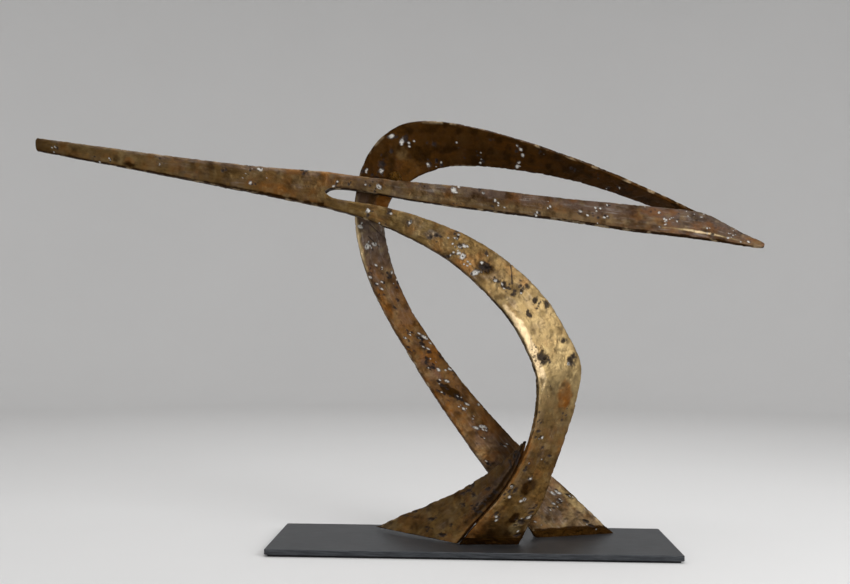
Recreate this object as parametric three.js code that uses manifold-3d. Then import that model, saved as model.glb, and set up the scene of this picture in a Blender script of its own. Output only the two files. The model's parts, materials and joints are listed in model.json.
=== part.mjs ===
// Abstract bronze ribbon sculpture on a steel plinth, in millimetres, +Z up, viewer on the -Y side.
// A tapering spear forks into two ribbons. The upper one, the blade, runs to a beak, where an arch
// folds back over it, bends down behind the fork and becomes the rear leg. The lower one sweeps round
// a knee to the front foot, whose inner edge opens out into a fin. Both legs stand on foot blocks,
// screwed on through a steel plate with a felt sheet under it.
// X runs along the plate, Y across it, and z = 0 is the plate's top face until the last lines.
import * as THREE from 'three';
import { mergeVertices } from 'three/addons/utils/BufferGeometryUtils.js';
import Module from 'manifold-3d';

const wasm = await Module();
wasm.setup();

// ---------------------------------------------------------------- driving dimensions
const PLATE = { length: 600, depth: 200, thickness: 8, corner: 4, arris: 0.8 };
const FELT = { inset: 4, thickness: 3 };
const SCREW = { shank: 4, head: 8, headHeight: 2.3, intoFoot: 8, socket: 2.8, socketDepth: 1.4 };
const SCREW_CLEARANCE = 0.3;
const SCREW_HOLE_LENGTH = 40; // passes right through the plate and a foot block
const SCREW_SPREAD = 0.28; // share of the foot's width from its middle to each screw
const GAP = 0.3; // between neighbouring castings and welds
const WELD = { length: 5, proud: 0.5 };
const FOOT_BLOCK_PROUD = 1; // the last stretch of each leg, 10 mm high, is its foot block
const RING_POINTS = 12;
const RING_STEP = 14; // spacing of the rings along a ribbon
const NOSE_LENGTH = 5; // of a rounded end, whose rings are [inset, share of the full section]
const NOSE = [[0, 0.62], [1.8, 0.9]];
const CROSSING_WELD = { centre: [-122, 1, 550], radii: [12, 12, 14], clearance: 0.8 };

// Each station is [upper or outer edge, lower or inner edge, thickness, squareness of the section].
// Squareness 2 is an ellipse, and larger values come closer to a flat bar with eased edges.
const SPEAR = [
  [[-673, -34, 607], [-672, -34, 585], 14, 2.6],
  [[-604, -32, 598], [-607, -33, 573], 15, 2.8],
  [[-512, -28, 586], [-515, -31, 556], 16, 3],
  [[-421, -22, 575], [-424, -27, 539], 17, 3.2],
  [[-330, -14, 566], [-334, -22, 522], 17, 3.4],
  [[-269, -8, 562], [-273, -18, 510], 17, 3.6],
  [[-227, -4, 559], [-230, -16, 502], 17, 3.6],
];
const BLADE = [
  [[-227, -4, 559], [-229, -11, 525.5], 16, 3.6],
  [[-223, -4, 558.5], [-224, -10, 529], 15.5, 3.6],
  [[-214, -4, 557], [-214, -10, 530.5], 15, 3.6],
  [[-199, -3, 555], [-200, -9, 530.5], 14, 3.6],
  [[-161, -3, 551], [-162, -8, 525.5], 12, 4],
  [[-99, -3, 545], [-100, -9, 514], 11, 4],
  [[9, -2, 534], [7, -12, 499], 10, 5],
  [[132, 4, 520], [128, -12, 484.5], 10, 6],
  [[256, 17, 509.5], [242, -12, 468.5], 9.5, 7],
  [[335, 28, 503], [313, -12, 461], 9, 7],
  [[360, 30, 498.5], [340, -12, 457], 9, 6],
  [[388, 21, 482], [372, -12, 453], 9, 5],
  [[419, 5, 462.5], [411, -11, 446.5], 8, 4],
  [[441, -8, 451], [439, -10, 442.5], 7, 3],
];
const ARCH_AND_REAR_LEG = [
  [[420, 12, 461], [419, 20, 454], 6, 3],
  [[390, 28, 480], [388, 44, 466], 8, 4],
  [[356, 40, 499], [353, 60, 485], 9, 5],
  [[275, 38, 537.5], [274, 64, 519.5], 9, 6],
  [[165, 28, 582.5], [164, 58, 554], 9, 7],
  [[40, 18, 622.5], [41, 50, 574], 9, 7],
  [[-54, 13, 641], [-41, 45, 574.5], 9, 8],
  [[-111, 11, 637], [-80, 36, 561], 9, 8],
  [[-150, 10, 611], [-99, 22, 547.5], 9, 8],
  [[-173, 9, 574], [-117, 13, 533], 9, 7],
  [[-184, 8, 533], [-130, 11, 514], 9, 7],
  [[-185, 8, 483], [-138, 13, 486], 9, 6],
  [[-176, 8, 432], [-132, 18, 438], 9, 6],
  [[-149, 8, 362], [-105, 24, 363], 9, 6],
  [[-104, 9, 285], [-52, 30, 281], 9, 7],
  [[-56, 10, 209], [12, 37, 202], 9, 7],
  [[-2, 11, 133], [89, 46, 121], 9, 8],
  [[43, 13, 72], [157, 54, 60], 9, 8],
  [[89, 16, 10], [210, 60, 10], 9, 8],
  [[96, 16, 0], [221, 61, 0], 9, 8],
];
const FRONT_LEG = [
  [[-229, -11, 524.5], [-230, -16, 502], 16, 3.6],
  [[-224, -11, 520.5], [-226, -16, 501], 15.5, 3.6],
  [[-215, -12, 517.5], [-218, -16, 499], 15, 3.6],
  [[-196, -12, 513.5], [-203, -17, 495], 14, 3.6],
  [[-153, -14, 507], [-165, -21, 483], 12, 4],
  [[-75, -16, 486], [-98, -28, 455], 11, 5],
  [[3, -17, 453], [-34, -34, 417], 10.5, 6],
  [[67, -14, 408], [20, -38, 369], 10, 7],
  [[111, -9, 363], [59, -41, 323], 10, 7],
  [[142, -4, 312], [81, -43, 282], 10, 8],
  [[163, -1, 265], [93, -45, 246], 10, 8],
  [[156, -2, 213], [94, -46, 215], 10, 8],
  [[142, -8, 165], [88, -47, 173], 10, 8],
  [[125, -15, 119], [71, -48, 126], 10, 8],
  [[104, -26, 61], [39, -48, 72], 10, 8],
  [[84, -31, 29], [8, -46, 36], 10, 8],
  [[75, -33, 10], [-12, -43, 10], 10, 8],
  [[68, -34, 0], [-20, -42, 0], 10, 8],
];
const FIN = [
  [[77, -42, 150], [78, -38, 154], 8, 3],
  [[61, -44, 111], [53, -28, 128], 9, 5],
  [[42, -44, 80], [20, -12, 99], 9, 7],
  [[15, -42, 47], [-22, 6, 70], 9, 8],
  [[-4, -41, 27], [-65, 24, 47], 9, 8],
  [[-16, -40, 11], [-109, 40, 26], 9, 8],
  [[-24, -38, 0.5], [-151, 55, 5], 9, 8],
];

// ---------------------------------------------------------------- finishes
const metal = (color, roughness, metalness) =>
  new THREE.MeshStandardMaterial({ color, roughness, metalness });
const OLIVE_BRONZE = metal(0x6e5527, 0.45, 0.9);
const DARK_BRONZE = metal(0x3d2815, 0.5, 0.9);
const BROWN_BRONZE = metal(0x5a4636, 0.5, 0.9);
const POLISHED_BRONZE = metal(0xa58a50, 0.35, 1);
const FOOT_BRONZE = metal(0x2c211b, 0.6, 0.8);
const WELD_BRONZE = metal(0x6a5a48, 0.5, 0.9);
const BLACK_STEEL = metal(0x3a3c3f, 0.5, 0.8);
const ZINC = metal(0x9a9c9e, 0.4, 1);
const BLACK_FELT = metal(0x17171a, 0.95, 0);

// ---------------------------------------------------------------- ribbon maths
const vector = (values) => new THREE.Vector3(...values);
const smoothCurve = (points) => new THREE.CatmullRomCurve3(points, false, 'centripetal');
const signedPower = (value, power) => Math.sign(value) * Math.abs(value) ** power;

// A ribbon carries a superellipse section along two edge curves. Positions along it are either
// station numbers, which may be fractional, or distances in mm along the line midway between the edges.
// The last few sections can be cut level, to stand on the plate.
function ribbon(stations, { startsAlong = null, levelSections = 0 } = {}) {
  const last = stations.length - 1;
  const outer = smoothCurve(stations.map(([edge]) => vector(edge)));
  const inner = smoothCurve(stations.map(([, edge]) => vector(edge)));
  const body = smoothCurve(stations.map(([, , thickness, squareness], i) => vector([i, thickness, squareness])));
  const middle = (station) =>
    outer.getPoint(station / last).add(inner.getPoint(station / last)).multiplyScalar(0.5);

  const travelAt = stations.map((_, i) => {
    const ahead = middle(Math.min(last, i + 0.05));
    return ahead.sub(middle(Math.max(0, i - 0.05))).normalize();
  });
  if (startsAlong) travelAt[0].copy(startsAlong);
  travelAt.slice(travelAt.length - levelSections).forEach((direction) => direction.set(0, 0, -1));
  const travel = smoothCurve(travelAt);

  const SAMPLES = 40 * last;
  const lengths = [0];
  for (let i = 1, previous = middle(0); i <= SAMPLES; i += 1) {
    const next = middle((i * last) / SAMPLES);
    lengths.push(lengths[i - 1] + next.distanceTo(previous));
    previous = next;
  }
  const distanceOf = (station) => {
    const i = Math.min(SAMPLES - 1, Math.floor((station / last) * SAMPLES));
    return THREE.MathUtils.lerp(lengths[i], lengths[i + 1], (station / last) * SAMPLES - i);
  };
  const stationOf = (distance) => {
    const beyond = lengths.findIndex((length) => length > distance);
    const i = beyond < 0 ? SAMPLES - 1 : Math.max(0, beyond - 1);
    return ((i + (distance - lengths[i]) / (lengths[i + 1] - lengths[i])) * last) / SAMPLES;
  };

  // One ring of the section, in the plane of the ribbon's width and thickness.
  const ring = (distance, grow = 0, shrink = 1) => {
    const t = THREE.MathUtils.clamp(stationOf(distance) / last, 0, 1);
    const centre = middle(t * last);
    const [, thickness, squareness] = body.getPoint(t).toArray();
    const across = outer.getPoint(t).sub(centre);
    const through = new THREE.Vector3().crossVectors(across, travel.getPoint(t));
    across.setLength((across.length() + grow) * shrink);
    through.setLength((thickness / 2 + grow) * shrink);
    return Array.from({ length: RING_POINTS }, (_, i) => {
      const angle = (2 * Math.PI * i) / RING_POINTS;
      return centre
        .clone()
        .addScaledVector(across, signedPower(Math.cos(angle), 2 / squareness))
        .addScaledVector(through, signedPower(Math.sin(angle), 2 / squareness));
    });
  };
  // Distances for the rings of a stretch: both ends, each station between them, and even steps.
  const ringDistances = (from, to) => {
    const marks = [from, ...stations.map((_, i) => distanceOf(i)).filter((d) => d > from + 1 && d < to - 1), to];
    return marks.flatMap((mark, i) => {
      if (i === 0) return [mark];
      const steps = Math.max(1, Math.round((mark - marks[i - 1]) / RING_STEP));
      return Array.from({ length: steps }, (_, k) => THREE.MathUtils.lerp(marks[i - 1], mark, (k + 1) / steps));
    });
  };
  return {
    ring,
    ringDistances,
    distanceOf,
    length: lengths[SAMPLES],
    footTop: distanceOf(last - 1),
    travelAtEnd: travelAt[last],
  };
}

// Joins rings of equal size into a closed solid with flat ends.
function skin(rings) {
  const n = rings[0].length;
  const index = [];
  for (let r = 0; r < rings.length - 1; r += 1) {
    for (let i = 0; i < n; i += 1) {
      const [a, b] = [r * n + i, r * n + ((i + 1) % n)];
      index.push(a, b, b + n, a, b + n, a + n);
    }
  }
  const end = (rings.length - 1) * n;
  for (let i = 1; i < n - 1; i += 1) index.push(0, i + 1, i, end, end + i, end + i + 1);
  const geometry = new THREE.BufferGeometry().setFromPoints(rings.flat());
  geometry.setIndex(signedVolume(rings.flat(), index) > 0 ? index : index.reverse());
  return geometry;
}

function signedVolume(points, index) {
  let sum = 0;
  for (let i = 0; i < index.length; i += 3) {
    const [a, b, c] = [points[index[i]], points[index[i + 1]], points[index[i + 2]]];
    sum += a.dot(new THREE.Vector3().crossVectors(b, c));
  }
  return sum;
}

// A length of ribbon between two distances. A rounded nose adds two smaller rings at that end.
function loft(strip, from, to, { grow = 0, noseAtStart = false, noseAtEnd = false } = {}) {
  const begin = noseAtStart ? from + NOSE_LENGTH : from;
  const finish = noseAtEnd ? to - NOSE_LENGTH : to;
  const rings = strip.ringDistances(begin, finish).map((distance) => strip.ring(distance, grow));
  if (noseAtStart) rings.unshift(...NOSE.map(([inset, shrink]) => strip.ring(from + inset, grow, shrink)));
  if (noseAtEnd) rings.push(...NOSE.toReversed().map(([inset, shrink]) => strip.ring(to - inset, grow, shrink)));
  return skin(rings);
}

// ---------------------------------------------------------------- solids that are cut
function solid(geometry) {
  const bare = new THREE.BufferGeometry().setAttribute('position', geometry.getAttribute('position'));
  if (geometry.index) bare.setIndex(geometry.index);
  const merged = mergeVertices(bare, 1e-4);
  return new wasm.Manifold(new wasm.Mesh({
    numProp: 3,
    vertProperties: new Float32Array(merged.getAttribute('position').array),
    triVerts: new Uint32Array(merged.index.array),
  }));
}

function geometryOf(manifold) {
  const mesh = manifold.getMesh();
  const geometry = new THREE.BufferGeometry();
  geometry.setAttribute('position', new THREE.BufferAttribute(new Float32Array(mesh.vertProperties), 3));
  geometry.setIndex(Array.from(mesh.triVerts));
  return geometry;
}

// ---------------------------------------------------------------- the model
const sculpture = new THREE.Group();
sculpture.name = 'ribbon_sculpture';

function add(name, geometry, material) {
  const mesh = new THREE.Mesh(geometry, material);
  mesh.name = name;
  sculpture.add(mesh);
  return mesh;
}

// Cuts a ribbon into named castings with a weld bead at each cut, and returns where the last one ends.
function castings(strip, pieces, cuts, { end = strip.length, noseAtStart = false, noseAtEnd = false } = {}) {
  const joints = cuts.map((station) => strip.distanceOf(station));
  pieces.forEach(([name, material], i) => {
    const first = i === 0;
    const final = i === pieces.length - 1;
    const from = first ? GAP / 2 : joints[i - 1] + WELD.length / 2 + GAP;
    const to = final ? end - GAP / 2 : joints[i] - WELD.length / 2 - GAP;
    add(name, loft(strip, from, to, {
      noseAtStart: first && noseAtStart,
      noseAtEnd: final && noseAtEnd,
    }), material);
    if (!final) {
      const half = WELD.length / 2;
      const bead = loft(strip, joints[i] - half, joints[i] + half, { grow: WELD.proud });
      add(`weld_${pieces[i + 1][0]}`, bead, WELD_BRONZE);
    }
  });
}

// Where the screws stand under a foot, from the two ends of the foot's base line.
function screwPlaces(stations) {
  const [outer, inner] = stations.at(-1).map((edge) => (Array.isArray(edge) ? vector(edge) : null));
  return [-1, 1].map((side) => outer.clone().lerp(inner, 0.5 + side * SCREW_SPREAD));
}

// The outline of a screw, or of its hole when it has clearance and runs out below the plate.
function screwProfile(clearance = 0, below = 0) {
  const { shank, head, headHeight, intoFoot } = SCREW;
  const underside = -PLATE.thickness;
  const headRadius = head / 2 + clearance;
  const shankRadius = shank / 2 + clearance;
  const outline = [[0, underside - below], [headRadius, underside - below]];
  if (below > 0) outline.push([headRadius, underside]);
  outline.push([shankRadius, underside + headHeight], [shankRadius, intoFoot], [0, intoFoot]);
  return outline.map(([radius, z]) => new THREE.Vector2(radius, z));
}

// A solid of revolution about a vertical axis through the given point.
function turned(profile, place, segments = 24) {
  const geometry = new THREE.LatheGeometry(profile, segments);
  return geometry.rotateX(Math.PI / 2).translate(place.x, place.y, 0);
}

function countersunkScrew(name, place) {
  const socketTop = -PLATE.thickness + SCREW.socketDepth;
  const socket = new THREE.CylinderGeometry(SCREW.socket / 2, SCREW.socket / 2, 2 * SCREW.socketDepth, 6);
  socket.rotateX(Math.PI / 2).translate(place.x, place.y, socketTop - SCREW.socketDepth);
  add(name, geometryOf(solid(turned(screwProfile(), place)).subtract(solid(socket))), ZINC);
}

function screwHole(place) {
  const radius = SCREW.shank / 2 + SCREW_CLEARANCE;
  const through = new THREE.CylinderGeometry(radius, radius, SCREW_HOLE_LENGTH, 24);
  through.rotateX(Math.PI / 2).translate(place.x, place.y, 0);
  return solid(turned(screwProfile(SCREW_CLEARANCE, 1), place)).add(solid(through));
}

function footBlock(name, strip, stations) {
  const block = loft(strip, strip.footTop + GAP / 2, strip.length, { grow: FOOT_BLOCK_PROUD });
  const bored = screwPlaces(stations).reduce((body, place) => body.subtract(screwHole(place)), solid(block));
  add(name, geometryOf(bored), FOOT_BRONZE);
}

function roundedRectangle(length, depth, corner) {
  const [x, y] = [length / 2, depth / 2];
  const shape = new THREE.Shape();
  shape.moveTo(corner - x, -y);
  shape.lineTo(x - corner, -y).absarc(x - corner, corner - y, corner, -Math.PI / 2, 0);
  shape.lineTo(x, y - corner).absarc(x - corner, y - corner, corner, 0, Math.PI / 2);
  shape.lineTo(corner - x, y).absarc(corner - x, y - corner, corner, Math.PI / 2, Math.PI);
  shape.lineTo(-x, corner - y).absarc(corner - x, corner - y, corner, Math.PI, 1.5 * Math.PI);
  return shape;
}

function basePlate(feet) {
  const { length, depth, thickness, corner, arris } = PLATE;
  const slab = new THREE.ExtrudeGeometry(
    roundedRectangle(length - 2 * arris, depth - 2 * arris, corner - arris),
    { depth: thickness - 2 * arris, bevelSize: arris, bevelThickness: arris, bevelSegments: 1, curveSegments: 5 },
  ).translate(0, 0, arris - thickness);
  const holes = feet.flatMap(screwPlaces).map(screwHole);
  return geometryOf(holes.reduce((body, hole) => body.subtract(hole), solid(slab)));
}

function baseFelt() {
  const { inset, thickness } = FELT;
  const outline = roundedRectangle(PLATE.length - 2 * inset, PLATE.depth - 2 * inset, PLATE.corner);
  const sheet = new THREE.ExtrudeGeometry(outline, { depth: thickness, bevelEnabled: false, curveSegments: 5 });
  return sheet.translate(0, 0, -PLATE.thickness - thickness);
}

const spear = ribbon(SPEAR);
const blade = ribbon(BLADE, { startsAlong: spear.travelAtEnd });
const rear = ribbon(ARCH_AND_REAR_LEG, { levelSections: 2 });
const front = ribbon(FRONT_LEG, { startsAlong: spear.travelAtEnd, levelSections: 2 });
const fin = ribbon(FIN, { levelSections: 1 });

// A lump of weld that ties the blade's upper edge to the arch where they cross.
function crossingWeld() {
  const { centre, radii, clearance } = CROSSING_WELD;
  const lump = new THREE.SphereGeometry(1, 20, 12).scale(...radii).translate(...centre);
  const near = (strip, station, reach) => {
    const middle = strip.distanceOf(station);
    return solid(loft(strip, middle - reach, middle + reach, { grow: clearance }));
  };
  return geometryOf(solid(lump).subtract(near(blade, 4.6, 60)).subtract(near(rear, 9, 70)));
}

add('base_plate', basePlate([ARCH_AND_REAR_LEG, FRONT_LEG]), BLACK_STEEL);
add('base_felt', baseFelt(), BLACK_FELT);
castings(spear, [['spear_tip', OLIVE_BRONZE], ['spear_root', OLIVE_BRONZE]], [3], { noseAtStart: true });
castings(
  blade,
  [['blade_root', BROWN_BRONZE], ['blade', BROWN_BRONZE], ['beak_plate', BROWN_BRONZE]],
  [5, 8],
  { noseAtEnd: true },
);
castings(
  rear,
  [
    ['arch_tail', DARK_BRONZE],
    ['arch', DARK_BRONZE],
    ['arch_bend', DARK_BRONZE],
    ['rear_leg_upper', BROWN_BRONZE],
    ['rear_leg_lower', BROWN_BRONZE],
    ['rear_flare', BROWN_BRONZE],
  ],
  [3, 6, 10.6, 13.5, 16],
  { end: rear.footTop },
);
castings(
  front,
  [
    ['front_leg_root', OLIVE_BRONZE],
    ['front_leg', OLIVE_BRONZE],
    ['knee', POLISHED_BRONZE],
    ['shin', OLIVE_BRONZE],
  ],
  [5, 8.4, 12],
  { end: front.footTop },
);
add('fin', loft(fin, 0, fin.length), OLIVE_BRONZE);
footBlock('rear_foot', rear, ARCH_AND_REAR_LEG);
footBlock('front_foot', front, FRONT_LEG);
add('crossing_weld', crossingWeld(), WELD_BRONZE);
screwPlaces(ARCH_AND_REAR_LEG).forEach((place, i) => countersunkScrew(`rear_foot_screw_${i + 1}`, place));
screwPlaces(FRONT_LEG).forEach((place, i) => countersunkScrew(`front_foot_screw_${i + 1}`, place));

// The origin is the middle of the felt's underside.
sculpture.position.z = PLATE.thickness + FELT.thickness;
sculpture.updateMatrixWorld(true);

export default sculpture;
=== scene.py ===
"""Cast surfaces, patina and studio for an abstract bronze ribbon sculpture on a steel plinth.

Every bronze ribbon is read back from its CAD castings as a run of cross-sections, carried again along
the same line on a fine grid, and given the lumps, pits, weld beads and rubbed edges of a rough casting.
The colour zones, some of them painted light and shade, are laid on the surface as weights, and one patina
material mixes them.
"""
import json
import math
import bpy
import numpy as np
from mathutils import Matrix, Vector


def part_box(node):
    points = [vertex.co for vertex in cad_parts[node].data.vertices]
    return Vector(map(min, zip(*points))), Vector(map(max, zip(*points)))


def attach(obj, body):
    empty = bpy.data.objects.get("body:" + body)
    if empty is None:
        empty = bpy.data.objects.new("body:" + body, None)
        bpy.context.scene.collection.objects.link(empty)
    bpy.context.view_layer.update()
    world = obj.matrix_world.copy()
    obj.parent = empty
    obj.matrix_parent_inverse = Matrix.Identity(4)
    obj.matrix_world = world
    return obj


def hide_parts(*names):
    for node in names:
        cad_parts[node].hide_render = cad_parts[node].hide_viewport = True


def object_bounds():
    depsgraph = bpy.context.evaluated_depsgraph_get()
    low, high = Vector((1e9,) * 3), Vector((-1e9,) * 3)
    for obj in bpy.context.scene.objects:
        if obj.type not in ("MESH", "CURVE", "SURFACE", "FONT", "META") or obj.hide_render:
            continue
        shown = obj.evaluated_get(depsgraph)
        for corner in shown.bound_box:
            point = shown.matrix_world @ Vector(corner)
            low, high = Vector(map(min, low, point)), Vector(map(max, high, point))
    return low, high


bl_info = {
    "name": "Ribbon Sculpture",
    "version": (1, 0, 0),
    "blender": (4, 5, 0),
    "location": "3D View > Sidebar > Sculpture",
    "description": "Cast bronze ribbons, welds, foot blocks, steel plinth and studio",
    "category": "Object",
}

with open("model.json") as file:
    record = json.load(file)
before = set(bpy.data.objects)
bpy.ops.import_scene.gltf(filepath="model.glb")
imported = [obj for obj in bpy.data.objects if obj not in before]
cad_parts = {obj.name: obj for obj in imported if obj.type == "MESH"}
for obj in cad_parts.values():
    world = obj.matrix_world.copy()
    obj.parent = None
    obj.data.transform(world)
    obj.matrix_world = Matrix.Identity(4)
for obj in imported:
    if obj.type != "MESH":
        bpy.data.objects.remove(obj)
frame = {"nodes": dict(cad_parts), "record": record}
CAD_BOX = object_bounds()
MM = 0.001
BODY = "root"

RING = 12                # points in each cross-section of a CAD casting
HALF_GAP = 0.15 * MM     # from the end of a casting to the middle of its joint
NOSE = 5 * MM            # length of a rounded end
NOSE_RINGS = 2           # smaller cross-sections that the CAD puts in a rounded end
EASED = 1.5 * MM         # rounding of a ribbon's free end
NOSE_ROWS = 12           # fine rows in a rounded end
EASED_ROWS = 6           # and in an eased one
CORNER_EXTRA = 26 * MM   # added to a section's outline at its corners, when points are shared out on it
FORK_BLEND = 22 * MM     # length over which a prong leaves the shape of the spear's section
LEVEL = 0.02 * MM        # points this close in height are on one level face
SAME = 0.01 * MM         # points this close together are one point
NEXT_REACH = 6 * MM      # how far past a section's own size the next casting's first section may lie
ROW_STEP = 1.15 * MM     # spacing of a ribbon's fine rows
FOOT_ROW_STEP = 0.6 * MM
FOOT_AROUND = 180        # points round a foot block
FOOT_ROUGHNESS = 1.5     # of the relief, against 1 for the rear ribbon
FOOT_SCALE = 0.35 * MM   # depth of a foot block's scale
SCREW_CLEAR = 3 * MM     # points this near a screw's axis belong to its hole
OUTLINE_STEPS = 720      # points of a section's outline before they are shared out
FACE_STEPS = 240         # the same for one face of a prong's first section
CUT_STEPS = 24           # and for half of its cut side
NOSE_POWER = 2.6         # roundness of a nose: a superellipse of this power
EDGE_SIDE = 0.93         # share of the half width that pits keep within
FLOW = 0.12              # how far streaks are squeezed along a ribbon
TONES = ("gold", "violet", "copper", "umber", "pit", "residue", "worn")

# Castings of each ribbon from its start, the way its outer edge faces where the ribbon is widest, the
# number of points round its section, and how its two ends are closed.
RIBBONS = {
    "spear": (["spear_tip", "spear_root"], (0, 0, 1), 120, ("nose", "joint")),
    "blade": (["blade_root", "blade", "beak_plate"], (0, 0, 1), 120, ("joint", "nose")),
    "rear": (
        ["arch_tail", "arch", "arch_bend", "rear_leg_upper", "rear_leg_lower", "rear_flare"],
        (-1, 0, 0), 184, ("eased", "joint"),
    ),
    "front": (
        ["front_leg_root", "front_leg", "knee", "shin"], (1, 0, 0), 168, ("joint", "joint"),
    ),
    "fin": (["fin"], (1, 0, 0), 208, ("eased", "eased")),
}
SEEDS = {"spear": 1, "blade": 2, "rear": 3, "front": 4, "fin": 5}
ROUGHNESS_OF = {"spear": 0.8, "blade": 0.8, "rear": 1.0, "front": 0.9, "fin": 1.6}
SLOT_OF = {sub["node"]: sub["material_slot"] for sub in frame["record"]["subparts"]}
# Each foot block, the ribbon it ends, and its screws.
FEET = {
    "rear_foot": ("rear", ["rear_foot_screw_1", "rear_foot_screw_2"]),
    "front_foot": ("front", ["front_foot_screw_1", "front_foot_screw_2"]),
}

# Tones along each ribbon: casting, share of its length, then gold, violet, copper and umber there.
ALONG = {
    "spear": [
        ("spear_tip", 0.0, 0.05, 0.10, 0.15, 0.60),
        ("spear_tip", 0.3, 0.30, 0.05, 0.10, 0.15),
        ("spear_root", 0.2, 0.20, 0.10, 0.20, 0.15),
        ("spear_root", 1.0, 0.15, 0.20, 0.25, 0.10),
    ],
    "blade": [
        ("blade_root", 0.0, 0.15, 0.30, 0.20, 0.10),
        ("blade_root", 1.0, 0.15, 0.35, 0.10, 0.15),
        ("blade", 0.5, 0.05, 0.45, 0.15, 0.35),
        ("blade", 1.0, 0.05, 0.50, 0.15, 0.25),
        # the beak's strong violet-grey is partly patina and partly a painted reflection on its up-facing
        # face
        ("beak_plate", 0.5, 0.05, 0.80, 0.05, 0.15),
        ("beak_plate", 0.85, 0.05, 0.70, 0.20, 0.15),
    ],
    "rear": [
        # painted shade: the heavy umber on the arch darkens its down-facing face
        ("arch_tail", 0.0, 0.00, 0.00, 0.60, 0.84),
        ("arch", 0.2, 0.00, 0.00, 0.70, 0.84),
        ("arch_bend", 0.7, 0.00, 0.10, 0.60, 0.82),
        ("arch_bend", 1.0, 0.05, 0.60, 0.20, 0.40),
        # painted reflection: the strong violet-grey at the top of the rear leg, which faces up, stands for
        # the bright room mirrored in it
        ("rear_leg_upper", 0.1, 0.10, 1.00, 0.00, -0.25),
        ("rear_leg_upper", 0.6, 0.05, 0.50, 0.25, 0.35),
        ("rear_leg_lower", 0.0, 0.05, 0.25, 0.45, 0.40),
        ("rear_leg_lower", 0.7, 0.05, 0.35, 0.40, 0.40),
        ("rear_flare", 0.1, 0.15, 0.55, 0.30, 0.10),
        ("rear_flare", 0.6, 0.10, 0.50, 0.05, 0.50),
        ("rear_flare", 1.0, 0.25, 0.50, 0.00, 0.30),
    ],
    "front": [
        ("front_leg_root", 0.0, 0.20, 0.05, 0.15, 0.10),
        ("front_leg", 0.0, 0.30, 0.00, 0.05, 0.05),
        ("front_leg", 0.5, 0.25, 0.10, 0.15, 0.05),
        # painted highlight: the strong gold from the end of the front leg over the knee
        ("front_leg", 0.9, 0.60, 0.15, 0.00, 0.00),
        ("knee", 0.6, 0.85, 0.00, 0.05, 0.00),
        ("knee", 0.9, 0.40, 0.00, 0.25, 0.15),
        ("shin", 0.2, 0.15, 0.05, 0.20, 0.25),
        ("shin", 0.8, 0.20, 0.00, 0.25, 0.25),
        ("shin", 1.0, 0.05, 0.10, 0.20, 0.75),
    ],
    "fin": [("fin", 0.0, 0.05, 0.25, 0.10, 0.55), ("fin", 1.0, 0.20, 0.00, 0.15, 0.20)],
}
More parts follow.
